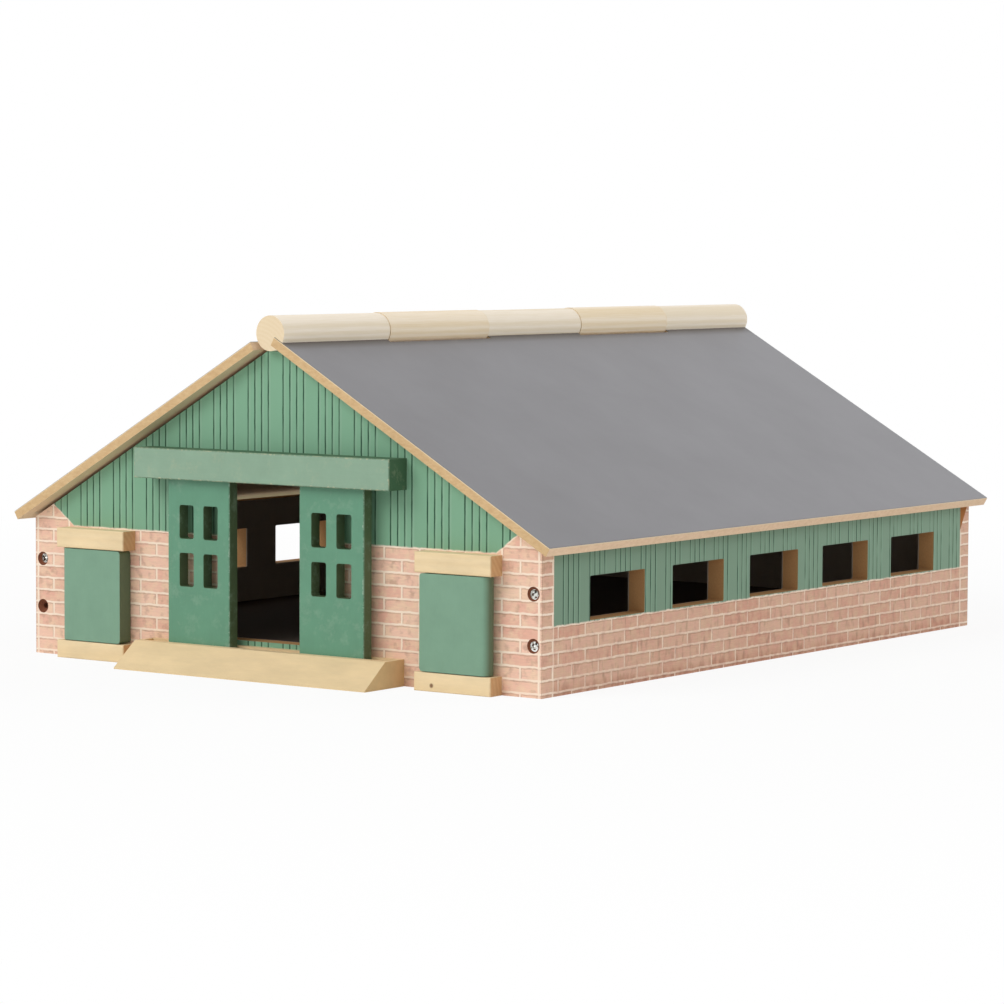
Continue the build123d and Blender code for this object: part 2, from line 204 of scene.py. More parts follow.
class BarnTimber(bpy.types.PropertyGroup):
    """Paints, laminate and bare wood."""
    left_rise: millimetres("Left rise", "Top of the left roof over the ridge's axis plane",
                           1.8, low=-20.0)
    right_rise: millimetres("Right rise", "The same of the right roof", -0.2, low=-20.0)
    roof_board: millimetres("Roof board", "Thickness of the roof boards", 5.8)
    film: millimetres("Film", "How far the laminate comes over the edge", 0.35)
    bevel: millimetres("Bevel", "Height of the eased edge below the film", 0.5)
    # Painted shade: the dark band along the ridge stands in for the shadow under the dowels
    ridge_shade_start: millimetres("Dirt start", "Where the dirt is thick, from the axis", 11.0)
    ridge_shade_end: millimetres("Dirt end", "Where it ends", 19.0)
    roof: colour("Roof", "Grey laminate of the roof", "#7B7A7D")
    # A paler tone of the film, for its random clouds and for its paling towards the rear
    roof_pale: colour("Faded roof", "Where the laminate is faded", "#8C8B8F")
    # Painted light: the lower face of the roof boards is made a pale beige, lighter than the
    # raw board, against the shade it lies in
    underside_lightened: colour("Underside", "Beige paper under the roof boards", "#E4D0B6")
    # Painted shade under the dowels along the ridge
    ridge_shade: colour("Dirt", "Dirt along the ridge", "#4E4439")
    roof_edge: colour("Roof edge", "Cut edge of the roof board", "#DFC092")
    roof_edge_deep: colour("Deep roof edge", "Darker fibres of that edge", "#C8A274")
    # Partly the eased edge's paler fibres, partly a painted highlight along the top edge
    bevel_highlight: colour("Roof bevel", "Eased edge below the film", "#EFDDBB")
    eave_edge: colour("Eave edge", "Paler cut edge along the eaves", "#F1D3B5")
    main_door: colour("Main doors", "Green enamel of the sliding doors", "#63957A")
    main_door_edge: colour("Main door edge", "The same in the cut edges", "#4F6344")
    chip: colour("Chip", "Rubbed and chipped paint", "#93AF98")
    small_door: colour("Small doors", "Green of the turning doors", "#7DA28A")
    # Partly painted shade: the edge paint is set darker, part way to the shaded flat side
    # beside the rail
    small_door_edge_shaded: colour("Small door edge", "The same on the edges", "#5E7056")
    header_chip: colour("Header chip", "Rubbed paint of the header", "#B4B99A")
    header: colour("Header", "Thin green over the doorway", "#8CA992")
    header_edge: colour("Header edge", "The same on the ends", "#426448")
    pine: colour("Pine", "Planed pine of the rails", "#F5DEB6")
    ramp: colour("Ramp", "Yellower pine of the ramp", "#ECD3A8")
    pine_late: colour("Late wood", "Late wood of the pine", "#E3C592")
    ramp_end: colour("Ramp end", "End grain of the ramp", "#D8B585")
    rail_end: colour("Rail end", "Browner end grain of the rails", "#C39267")
    # Colour of the dark spot on the right lower rail
    knot: colour("Knot", "Dark heart of a pin knot", "#6E4426")
    # Painted light in part: these beech colours are set paler than the wood, for the light the
    # ridge catches from above
    dowel: colour("Pale dowel", "Pale beech of the ridge", "#FFF3E1")
    dowel_late: colour("Pale dowel rays", "Its darker grain", "#F4E5CB")
    yellow: colour("Yellow dowel", "Yellower beech of the ridge", "#FEEFD8")
    yellow_late: colour("Yellow dowel rays", "Its darker grain", "#F3DFBD")
    dowel_end: colour("Dowel end", "End grain of both", "#E6CDA4")
    # Painted shade: the floor board is made dark for the shade inside the barn
    floor: colour("Floor board", "Thin dark board on the ground", "#544A42")
    floor_dark: colour("Floor fibres", "Its darker fibres", "#3E352E")
    zinc: colour("Zinc", "Plated steel of the screws", "#E4E4DF")
    zinc_dull: colour("Dull zinc", "Where the plating is worn", "#77736A")


class BarnScrew(bpy.types.PropertyGroup):
    """The countersunk screws in the gables."""
    head: millimetres("Head", "Diameter of a screw's head", SCREW_HEAD)
    play: millimetres("Play", "A head's diameter less than its countersink", 0.1)
    shank: millimetres("Shank", "Diameter of a screw's shank", 3.3)
    length: millimetres("Length", "Length of a screw", 34.0)
    recess: millimetres("Recess", "Span of the cross recess", 5.0)
    recess_wide: millimetres("Recess width", "Width of an arm of the cross", 1.5)
    recess_deep: millimetres("Recess depth", "Depth of the cross", 1.5)
    lean: bpy.props.FloatProperty(
        name="Lean", description="Most that a screw leans", subtype="ANGLE",
        default=math.radians(7.0))


class BarnStage(bpy.types.PropertyGroup):
    """Floor, lamps and camera."""
    floor: bpy.props.FloatProperty(
        name="Floor", description="Half the floor's side", default=12.0, unit="LENGTH")
    paper: colour("Paper", "Pale floor paper", "#F4F4F2")
    sky: bpy.props.FloatProperty(
        name="Sky", description="Strength of the light from all round", default=0.56)
    key: bpy.props.FloatProperty(
        name="Key", description="Power of the large lamp in front", default=51.0, unit="POWER")
    fill: bpy.props.FloatProperty(
        name="Fill", description="Power of the lamp on the right", default=5.0, unit="POWER")
    back: bpy.props.FloatProperty(
        name="Back", description="Power of the lamp behind", default=17.0, unit="POWER")
    camera_place: bpy.props.FloatVectorProperty(
        name="Camera", description="Where the camera stands", subtype="XYZ", unit="LENGTH",
        default=(1.40185, -1.9768, 0.26578))
    camera_yaw: bpy.props.FloatProperty(
        name="Yaw", description="Turn of the view to the left", subtype="ANGLE",
        default=math.radians(35.43))
    camera_pitch: bpy.props.FloatProperty(
        name="Pitch", description="How far the view looks down", subtype="ANGLE",
        default=math.radians(4.13))
    camera_roll: bpy.props.FloatProperty(
        name="Roll", description="Turn of the camera about its view", subtype="ANGLE",
        default=math.radians(0.26))
    lens: bpy.props.FloatProperty(
        name="Lens", description="Focal length on a 36 mm sensor, in mm", default=133.18)


# ---------------------------------------------------------------- finishes
COLOUR_MIX = {"output": 2, "data_type": "RGBA"}    # for a Mix node that mixes colours


def facing(tree, axis):
    """How squarely a surface faces along an axis, either way: 1 square, 0 edge-on."""
    normal = add_node(tree, "ShaderNodeTexCoord", output="Normal")
    along = add_node(tree, "ShaderNodeSeparateXYZ", {0: normal}, output=axis)
    return add_node(tree, ("ABSOLUTE", along))


def drawn_out(tree, place, stretch, detail, roughness):
    """Noise drawn out along the axes that have the smaller factors, which are per mm."""
    return add_node(tree, "ShaderNodeTexNoise", {
        "Vector": add_node(tree, "ShaderNodeVectorMath", {0: place, 1: stretch},
                           operation="MULTIPLY"),
        "Scale": 1.0, "Detail": detail, "Roughness": roughness})


def coat(tree, shader, base, height, strength):
    """Link a base colour and a fine relief, up to 0.2 mm deep, to the shader."""
    tree.links.new(base, shader.inputs["Base Color"])
    tree.links.new(
        add_node(tree, "ShaderNodeBump", {
            "Height": height, "Strength": strength, "Distance": 0.2 / MM}),
        shader.inputs["Normal"])


def raw_board(tree, place, pale, dark):
    """Colour of raw fibreboard: fine short fibres in two browns."""
    fibres = add_node(tree, "ShaderNodeTexNoise", {
        "Vector": place, "Scale": 1.1, "Detail": 6.0, "Roughness": 0.7})
    return add_node(tree, "ShaderNodeMix", {0: fibres, 6: pale, 7: dark}, **COLOUR_MIX)


def gable_bricks_here(tree, front, prints, across, height):
    """Above 0 where a gable has bricks: below a line, and up the pier at each corner."""
    below = ("SUBTRACT", prints.gable_brick_top, height)
    if front:
        below = ("MINIMUM", below, ("SUBTRACT", across, prints.doorway_side))
    pier = add_node(tree, ("SUBTRACT", across, prints.pier))
    shoulder = ("ADD",
                ("SUBTRACT", prints.gable_brick_top + prints.shoulder_rise, height),
                ("MULTIPLY", pier, 0.75))
    return add_node(tree, ("MAXIMUM", below, ("MAXIMUM", pier, shoulder)))


def spot_on_sheet(tree, where, prints, place):
    """Where a point lies on the print, in millimetres, and which face it is on, 0 or 1.

    Both gables share one layout, whose bricks wrap round the corners. The side walls
    have another. Depth is into a gable's board, and a side wall has none.
    """
    exact = add_node(tree, "ShaderNodeSeparateXYZ", {0: place}).node.outputs
    # Ink lines wander by a third of a millimetre up and down, and less sideways
    wander = add_node(tree, "ShaderNodeTexNoise", {
        "Vector": place, "Scale": 0.18, "Detail": 3.0}, output="Color")
    offset = add_node(tree, "ShaderNodeVectorMath", {
        0: wander, 1: (0.4, 0.4, 1.3), 2: (-0.2, -0.2, -0.65)}, operation="MULTIPLY_ADD")
    inked = add_node(tree, "ShaderNodeVectorMath", {0: place, 1: offset})
    ink = add_node(tree, "ShaderNodeSeparateXYZ", {0: inked}).node.outputs
    spot = SimpleNamespace(place=place, exact=exact)
    spot.across = add_node(tree, ("ABSOLUTE", ink["X"]))
    spot.exact_across = add_node(tree, ("ABSOLUTE", exact["X"]))
    spot.on_side = add_node(tree, ("GREATER_THAN", spot.exact_across, HALF_WIDTH - SKIN))
    spot.clouds = add_node(tree, "ShaderNodeTexNoise", {
        "Vector": place, "Scale": 0.16, "Detail": 4.0, "Roughness": 0.6})
    spot.streaks = drawn_out(tree, place, (0.15, 0.15, 1.2), 4.0, 0.7)

    if where == "wall":
        spot.printed = spot.on_side
        spot.depth = None
        spot.along = add_node(tree, ("SUBTRACT", ink["Y"], FRONT_Y))
        first_joint, first_course = prints.wall_joint, prints.low_course
        spot.brick_length, spot.group = prints.wall_brick, prints.wall_group
        spot.bricks_here = add_node(tree, ("SUBTRACT", prints.wall_brick_top, ink["Z"]))
        groove_from, first_groove = spot.along, prints.wall_groove
    else:
        front = where == "front"
        spot.on_face = add_node(tree, (
            "LESS_THAN" if front else "GREATER_THAN", exact["Y"],
            FRONT_Y + SKIN if front else REAR_Y - SKIN))
        spot.depth = add_node(tree, (
            "SUBTRACT", ink["Y"] if front else REAR_Y, FRONT_Y if front else ink["Y"]))
        spot.printed = add_node(tree, ("MAXIMUM", spot.on_face, spot.on_side))
        spot.along = add_node(tree, ("ADD", spot.across, spot.depth))
        # The bricks outside the doors sit apart from the middle's
        outside = add_node(tree, ("GREATER_THAN", spot.across, prints.outside))
        first_joint = add_node(tree, "ShaderNodeMix", {
            0: outside, 2: prints.gable_joint, 3: prints.outside_joint})
        first_course = add_node(tree, "ShaderNodeMix", {
            0: outside, 2: prints.gable_course, 3: prints.low_course})
        spot.brick_length, spot.group = prints.gable_brick, prints.plank_group
        spot.bricks_here = gable_bricks_here(tree, front, prints, spot.across, ink["Z"])
        groove_from, first_groove = ink["X"], prints.groove_step
    spot.brick_x = add_node(tree, ("SUBTRACT", spot.along, first_joint))
    spot.brick_z = add_node(tree, ("SUBTRACT", ink["Z"], first_course))
    spot.groove_x = add_node(tree, ("SUBTRACT", groove_from, first_groove))
    return spot


def printed_bricks(tree, where, prints, spot):
    """Bricks in two inks, with fine level streaks and soft dark spots 2 to 3 mm across."""
    if where == "wall":
        stretch, smudging, mortar_least, mortar_most = (0.2, 0.2, 0.1), 0.6, 0.35, 0.75
    else:
        stretch, smudging, mortar_least, mortar_most = (0.19, 0.19, 0.22), 0.48, 0.8, 1.0
    brick_place = add_node(tree, "ShaderNodeCombineXYZ", {
        "X": spot.brick_x, "Y": spot.brick_z})
    bond = {"Vector": brick_place, "Scale": 1.0, "Mortar Size": prints.mortar,
            "Mortar Smooth": 0.4, "Brick Width": spot.brick_length,
            "Row Height": prints.course, "Color1": prints.brick,
            "Color2": prints.brick_deep, "Mortar": prints.brick}
    brick_colour = add_node(tree, "ShaderNodeTexBrick", bond)
    bricks = add_node(tree, "ShaderNodeMix", {
        0: add_node(tree, "ShaderNodeMapRange", {
            "Value": spot.clouds, "From Min": 0.42, "From Max": 0.62, "To Max": 0.6}),
        6: brick_colour, 7: prints.brick_tan}, **COLOUR_MIX)
    bricks = add_node(tree, "ShaderNodeVectorMath", {
        0: bricks, "Scale": add_node(tree, "ShaderNodeMapRange", {
            "Value": spot.streaks, "From Min": 0.3, "From Max": 0.7, "To Min": 1.0,
            "To Max": 1.14})}, operation="SCALE")
    # Painted shade: the sides are made a little darker than the two faces, as they catch less
    # light
    bricks = add_node(tree, "ShaderNodeMix", {
        0: spot.on_side, 6: bricks, 7: prints.side_shade}, **COLOUR_MIX,
        blend_type="MULTIPLY")
    spots = drawn_out(tree, spot.place, stretch, 2.5, 0.5)
    bricks = add_node(tree, "ShaderNodeMix", {
        0: add_node(tree, "ShaderNodeMapRange", {
            "Value": spots, "From Min": 0.54, "From Max": 0.74, "To Max": smudging}),
        6: bricks, 7: prints.smudge}, **COLOUR_MIX)
    if where == "wall":
        # The lowest course is scuffed red-brown
        low_down = add_node(tree, "ShaderNodeMapRange", {
            "Value": spot.exact["Z"], "From Min": prints.scuffed_to, "From Max": 0.5})
        scuffed = add_node(tree, "ShaderNodeMapRange", {
            "Value": spots, "From Min": 0.35, "From Max": 0.6, "To Min": 0.15,
            "To Max": 0.7})
        bricks = add_node(tree, "ShaderNodeMix", {
            0: ("MULTIPLY", low_down, scuffed), 6: bricks, 7: prints.scuff}, **COLOUR_MIX)
    # The mortar is worn to different strengths, with a thin shadow here and there
    lifted = add_node(tree, "ShaderNodeVectorMath", {0: brick_place, 1: (-0.5, 0.8, 0.0)})
    shadow = add_node(tree, "ShaderNodeTexBrick", {**bond, "Vector": lifted}, output="Fac")
    patchy = add_node(tree, "ShaderNodeMapRange", {
        "Value": spot.streaks, "From Min": 0.35, "From Max": 0.6, "To Max": 0.55})
    bricks = add_node(tree, "ShaderNodeMix", {
        0: ("MULTIPLY", shadow, patchy), 6: bricks, 7: prints.joint_shadow}, **COLOUR_MIX)
    worn = add_node(tree, "ShaderNodeMapRange", {
        "Value": spot.clouds, "From Min": 0.35, "From Max": 0.6,
        "To Min": mortar_least, "To Max": mortar_most})
    mortar = ("MULTIPLY", brick_colour.node.outputs["Fac"], worn)
    return add_node(tree, "ShaderNodeMix", {0: mortar, 6: bricks, 7: prints.joint},
                    **COLOUR_MIX)


def printed_planks(tree, where, prints, spot):
    """Green planks with four grooves to a group, and how deep each groove's ink is."""
    half_step = prints.groove_step / 2
    in_group = add_node(tree, (
        "FLOORED_MODULO", ("ADD", spot.groove_x, half_step), spot.group))
    grouped = add_node(tree, ("LESS_THAN", in_group, 4 * prints.groove_step))
    from_groove = add_node(tree, (
        "SUBTRACT", ("FLOORED_MODULO", in_group, prints.groove_step), half_step))
    in_groove = add_node(tree, "ShaderNodeMapRange", {
        "Value": ("ABSOLUTE", from_groove), "From Min": prints.groove * 0.62,
        "From Max": prints.groove * 0.3})
    # Each groove has its own darkness, which drifts along it
    groove_number = ("ROUND", ("DIVIDE", spot.groove_x, prints.groove_step))
    groove_place = add_node(tree, "ShaderNodeCombineXYZ", {
        "X": ("MULTIPLY", groove_number, 3.7), "Y": ("MULTIPLY", spot.exact["Z"], 0.06)})
    faintest = 0.65
    if where == "wall":
        faintest = add_node(tree, "ShaderNodeMapRange", {
            "Value": spot.along, "From Max": 220.0, "To Min": 0.85, "To Max": 0.25})
    uneven = add_node(tree, "ShaderNodeMapRange", {
        "Value": add_node(tree, "ShaderNodeTexNoise", {
            "Vector": groove_place, "Scale": 1.0, "Detail": 1.0}),
        "From Min": 0.3, "From Max": 0.6, "To Min": faintest, "To Max": 1.0})
    grooves = add_node(tree, ("MULTIPLY", ("MULTIPLY", in_groove, grouped), uneven))
    # A pale strip runs beside each groove
    beside = add_node(tree, "ShaderNodeMapRange", {
        "Value": ("ABSOLUTE", ("SUBTRACT", from_groove, prints.groove)),
        "From Min": prints.groove, "From Max": 0.1, "To Max": 0.55})
    planks = add_node(tree, "ShaderNodeMix", {
        0: ("MULTIPLY", beside, grouped),
        6: prints.wall_plank if where == "wall" else prints.plank, 7: prints.plank_light},
        **COLOUR_MIX)
    dark_ink = grooves
    if where == "wall":
        # The planks are darkened with groove ink, most at the front and less towards the rear
        darker_to_front = add_node(tree, "ShaderNodeMapRange", {
            "Value": spot.along, "From Max": 500.0, "To Min": 0.2, "To Max": 0.05})
        dark_ink = add_node(tree, ("MAXIMUM", grooves, darker_to_front))
    planks = add_node(tree, "ShaderNodeMix", {
        0: dark_ink, 6: planks, 7: prints.groove_ink}, **COLOUR_MIX)
    return planks, grooves


def edged_sheet(tree, prints, spot, sheet):
    """The sheet with mortar along its borders, and soiled where it folds."""
    edge = add_node(tree, "ShaderNodeMapRange", {
        "Value": ("ABSOLUTE", spot.bricks_here), "From Min": 0.75, "From Max": 0.25})
    patchy = add_node(tree, "ShaderNodeMapRange", {
        "Value": spot.clouds, "From Min": 0.38, "From Max": 0.6, "To Min": 0.25,
        "To Max": 0.85})
    border = ("MULTIPLY", edge, patchy)
    if spot.depth:
        # The sheet ends in mortar at the side wall, and 2 mm before the corner
        last_joint = ("MULTIPLY", ("GREATER_THAN", spot.depth, BOARD - 0.9), 0.6)
        corner = add_node(tree, ("SUBTRACT", spot.along, HALF_WIDTH))
        before = ("ABSOLUTE", ("ADD", corner, 2.0))
        corner_joint = add_node(tree, "ShaderNodeMapRange", {
            "Value": before, "From Min": 1.0, "From Max": 0.5, "To Max": 0.7})
        border = ("MAXIMUM", border, ("MAXIMUM", last_joint, corner_joint))
        from_fold = ("ABSOLUTE", corner)
        sheet = add_node(tree, "ShaderNodeMix", {
            0: add_node(tree, "ShaderNodeMapRange", {
                "Value": ("ADD", from_fold, spot.streaks), "From Min": 1.05, "From Max": 0.55,
                "To Max": 0.6}), 6: sheet, 7: prints.joint_shadow}, **COLOUR_MIX)
    return add_node(tree, "ShaderNodeMix", {0: border, 6: sheet, 7: prints.joint},
                    **COLOUR_MIX)


def unprinted_board(tree, where, prints, spot):
    """The board where it has no sheet: hardboard darkened inside as painted shade, pale in the
    cut edges.
    """
    # Painted shade: the inner faces are darkened for the shade inside the barn
    if spot.depth:
        inside = add_node(tree, ("GREATER_THAN", spot.depth, BOARD - INNER_SKIN))
    else:
        inside = add_node(tree, ("LESS_THAN", spot.across, HALF_WIDTH - BOARD + INNER_SKIN))
    board = add_node(tree, "ShaderNodeMix", {
        0: inside, 6: raw_board(tree, spot.place, prints.board, prints.board_dark),
        7: prints.inside}, **COLOUR_MIX)
    # Painted shade in part: the raw board on the rear gable's sides is darkened for the shade
    # under the eave
    if where == "rear":
        board = add_node(tree, "ShaderNodeMix", {
            0: spot.on_side, 6: board, 7: prints.torn}, **COLOUR_MIX)
    if where == "front":
        # The screw holes are drilled through it, and the board round them is darkened and
        # rough: painted shade for the holes
        folded = add_node(tree, "ShaderNodeCombineXYZ", {
            "X": spot.exact_across,
            "Y": ("ABSOLUTE", ("SUBTRACT", spot.exact["Z"], SCREW_MIDDLE))})
        from_hole = add_node(tree, "ShaderNodeVectorMath", {
            0: folded, 1: (SCREW_X, SCREW_APART, 0.0)}, output="Value",
            operation="DISTANCE")
        board = add_node(tree, "ShaderNodeMix", {
            0: ("LESS_THAN", from_hole, prints.hole_radius), 6: board, 7: prints.hole},
            **COLOUR_MIX)
    return board


def printed_board(name, where, prints):
    """Fibreboard with a printed paper sheet: satin ink outside, raw fibres elsewhere.

    The sheet shows salmon bricks with cream mortar under grooved green planks, so
    the eye reads a brick barn with a timber gable on a board that is flat.
    """
    finish, tree, shader, place = new_finish(name, roughness=0.55, specular=0.25)
    spot = spot_on_sheet(tree, where, prints, place)
    planks, grooves = printed_planks(tree, where, prints, spot)
    is_brick = ("GREATER_THAN", spot.bricks_here, 0.0)
    sheet = add_node(tree, "ShaderNodeMix", {
        0: is_brick, 6: planks, 7: printed_bricks(tree, where, prints, spot)},
        **COLOUR_MIX)
    printed = spot.printed
    if where == "rear":
        # The sheet is torn off in a corner under each eave
        tear = ("MULTIPLY", spot.depth, prints.torn_rise / BOARD)
        whole = ("LESS_THAN", tear, ("SUBTRACT", prints.torn_from, spot.exact["Z"]))
        printed = add_node(tree, ("MULTIPLY", printed, ("MAXIMUM", spot.on_face, whole)))
    base = add_node(tree, "ShaderNodeMix", {
        0: printed, 6: unprinted_board(tree, where, prints, spot),
        7: edged_sheet(tree, prints, spot, sheet)}, **COLOUR_MIX)
    tree.links.new(
        add_node(tree, "ShaderNodeMapRange", {
            "Value": printed, "To Min": 0.9, "To Max": 0.55}), shader.inputs["Roughness"])
    fibres = add_node(tree, "ShaderNodeTexNoise", {
        "Vector": place, "Scale": 1.6, "Detail": 3.0})
    coat(tree, shader, base, ("SUBTRACT", fibres, grooves), 0.12)
    return finish


def outline(tree, place, low, high):
    """How far a point lies inside the nearest edge of a box, seen from the front."""
    spots = add_node(tree, "ShaderNodeSeparateXYZ", {0: place}).node.outputs
    insets = []
    for axis, start, end in (("X", low.x, high.x), ("Z", low.z, high.z)):
        off_middle = ("ABSOLUTE", ("SUBTRACT", spots[axis], (start + end) / 2))
        insets.append(("SUBTRACT", (end - start) / 2, off_middle))
    return add_node(tree, ("MINIMUM", *insets))


def painted_wood(name, face, edge, roughness, brushed, worn=0.0, chip=None, box=None):
    """Brushed enamel on a board: satin, a little uneven, and darker in the cut edges.

    Where a box is given, the paint is chipped along the outline of that piece.
    """
    finish, tree, shader, place = new_finish(name, roughness=roughness, specular=0.35)
    on_face = add_node(tree, "ShaderNodeMapRange", {
        "Value": facing(tree, "Y"), "From Min": 0.35, "From Max": 0.95})
    # Brush marks about a millimetre wide run along the piece
    marks = drawn_out(tree, place, brushed, 4.0, 0.6)
    clouds = add_node(tree, "ShaderNodeTexNoise", {
        "Vector": place, "Scale": 0.06, "Detail": 4.0, "Roughness": 0.6})
    brushing = add_node(tree, "ShaderNodeMapRange", {
        "Value": marks, "From Min": 0.3, "From Max": 0.7, "To Min": 0.985,
        "To Max": 1.015})
    fading = add_node(tree, "ShaderNodeMapRange", {
        "Value": clouds, "From Min": 0.3, "From Max": 0.7, "To Min": 0.95,
        "To Max": 1.05})
    paint = add_node(tree, "ShaderNodeMix", {0: on_face, 6: edge, 7: face}, **COLOUR_MIX)
    paint = add_node(tree, "ShaderNodeVectorMath", {
        0: paint, "Scale": ("MULTIPLY", brushing, fading)}, operation="SCALE")
    if worn:
        # Pale scuffs a few millimetres across
        scuffs = add_node(tree, "ShaderNodeTexNoise", {
            "Vector": place, "Scale": 0.1, "Detail": 8.0, "Roughness": 0.75})
        paint = add_node(tree, "ShaderNodeMix", {
            0: add_node(tree, "ShaderNodeMapRange", {
                "Value": scuffs, "From Min": 0.53, "From Max": 0.68, "To Max": worn}),
            6: paint, 7: chip}, **COLOUR_MIX)
    if box:
        # Chips bite up to 1.8 mm into the face from its outline
        bitten = add_node(tree, "ShaderNodeTexNoise", {
            "Vector": place, "Scale": 0.35, "Detail": 5.0, "Roughness": 0.7})
        bite = add_node(tree, "ShaderNodeMapRange", {
            "Value": bitten, "From Min": 0.48, "From Max": 0.75, "To Max": 1.8})
        chipped = ("GREATER_THAN", bite, outline(tree, place, *box))
        paint = add_node(tree, "ShaderNodeMix", {
            0: ("MULTIPLY", chipped, on_face), 6: paint, 7: chip}, **COLOUR_MIX)
    coat(tree, shader, paint, marks, 0.05)
    return finish


def pine(name, pale, late, end, knot, rings_shown):
    """Planed pine without a coat: matt, long pale grain, darker and rougher end grain."""
    finish, tree, shader, place = new_finish(name, roughness=0.62, specular=0.3)
    # Year rings about 3 mm apart, seen as long flames along the grain
    log = add_node(tree, "ShaderNodeMapping", {
        "Vector": place, "Location": (0.0, 380.0, 24.0), "Scale": (0.03, 1.0, 1.0)})
    rings = add_node(tree, "ShaderNodeTexWave", {
        "Vector": log, "Scale": 0.1, "Distortion": 5.0, "Detail": 3.0,
        "Detail Scale": 0.4}, output="Fac", wave_type="RINGS", rings_direction="X")
    fibres = drawn_out(tree, place, (0.05, 2.2, 2.2), 4.0, 0.65)
    grain = add_node(tree, (
        "ADD", ("MULTIPLY", rings, rings_shown), ("MULTIPLY", fibres, 0.4)))
    long_grain = add_node(tree, "ShaderNodeMix", {0: grain, 6: pale, 7: late},
                          **COLOUR_MIX)
    end_grain = add_node(tree, "ShaderNodeMix", {
        0: add_node(tree, "ShaderNodeMapRange", {
            "Value": grain, "From Max": 0.6, "To Min": 0.3}),
        6: late, 7: end}, **COLOUR_MIX)
    endways = add_node(tree, "ShaderNodeMapRange", {
        "Value": facing(tree, "X"), "From Min": 0.6, "From Max": 0.9})
    wood = add_node(tree, "ShaderNodeMix", {0: endways, 6: long_grain, 7: end_grain},
                    **COLOUR_MIX)
    blotches = drawn_out(tree, place, (0.03, 0.1, 0.1), 5.0, 0.65)
    wood = add_node(tree, "ShaderNodeVectorMath", {
        0: wood, "Scale": add_node(tree, "ShaderNodeMapRange", {
            "Value": blotches, "From Min": 0.3, "From Max": 0.7, "To Min": 0.92,
            "To Max": 1.07})}, operation="SCALE")
    # A dark spot 2.8 mm across on the right lower rail
    spots = add_node(tree, "ShaderNodeSeparateXYZ", {0: place}).node.outputs
    seen_flat = add_node(tree, "ShaderNodeCombineXYZ", {"X": spots["X"], "Y": spots["Z"]})
    in_dark_spot = add_node(tree, "ShaderNodeMapRange", {
        "Value": add_node(tree, "ShaderNodeVectorMath", {
            0: seen_flat, 1: (DARK_SPOT_X, DARK_SPOT_Z, 0.0)}, output="Value",
            operation="DISTANCE"),
        "From Min": 1.7, "From Max": 0.8, "To Max": 0.85})
    wood = add_node(tree, "ShaderNodeMix", {0: in_dark_spot, 6: wood, 7: knot}, **COLOUR_MIX)
    coat(tree, shader, wood, grain, 0.15)
    return finish


def dowel(name, pale, late, end):
    """Sanded beech dowel: matt and pale, with grain along it and rings on its ends."""
    finish, tree, shader, place = new_finish(name, roughness=0.6, specular=0.3)
    # Each knuckle is cut from another stick, so its grain starts elsewhere
    along = add_node(tree, "ShaderNodeSeparateXYZ", {0: place}, output="Y")
    stick = add_node(tree, ("FLOOR", ("DIVIDE", ("SUBTRACT", along, RIDGE_START), KNUCKLE)))
    shift = add_node(tree, "ShaderNodeCombineXYZ", {
        "X": ("MULTIPLY", stick, 11.3), "Z": ("MULTIPLY", stick, 7.9)})
    moved = add_node(tree, "ShaderNodeVectorMath", {0: place, 1: shift})
    fibres = drawn_out(tree, moved, (1.6, 0.035, 1.6), 4.0, 0.6)
    log = add_node(tree, "ShaderNodeMapping", {
        "Vector": moved, "Location": (9.0, 0.0, -190.0), "Scale": (1.0, 0.02, 1.0)})
    rings = add_node(tree, "ShaderNodeTexWave", {
        "Vector": log, "Scale": 0.12, "Distortion": 1.6, "Detail": 2.0,
        "Detail Scale": 0.4}, output="Fac", wave_type="RINGS", rings_direction="Y")
    grain = add_node(tree, ("ADD", ("MULTIPLY", rings, 0.3), ("MULTIPLY", fibres, 0.7)))
    wood = add_node(tree, "ShaderNodeMix", {
        0: add_node(tree, "ShaderNodeMapRange", {
            "Value": grain, "From Min": 0.3, "From Max": 0.65}),
        6: pale, 7: late}, **COLOUR_MIX)
    endways = add_node(tree, "ShaderNodeMapRange", {
        "Value": facing(tree, "Y"), "From Min": 0.6, "From Max": 0.9, "To Max": 0.7})
    wood = add_node(tree, "ShaderNodeMix", {0: endways, 6: wood, 7: end}, **COLOUR_MIX)
    coat(tree, shader, wood, grain, 0.15)
    return finish


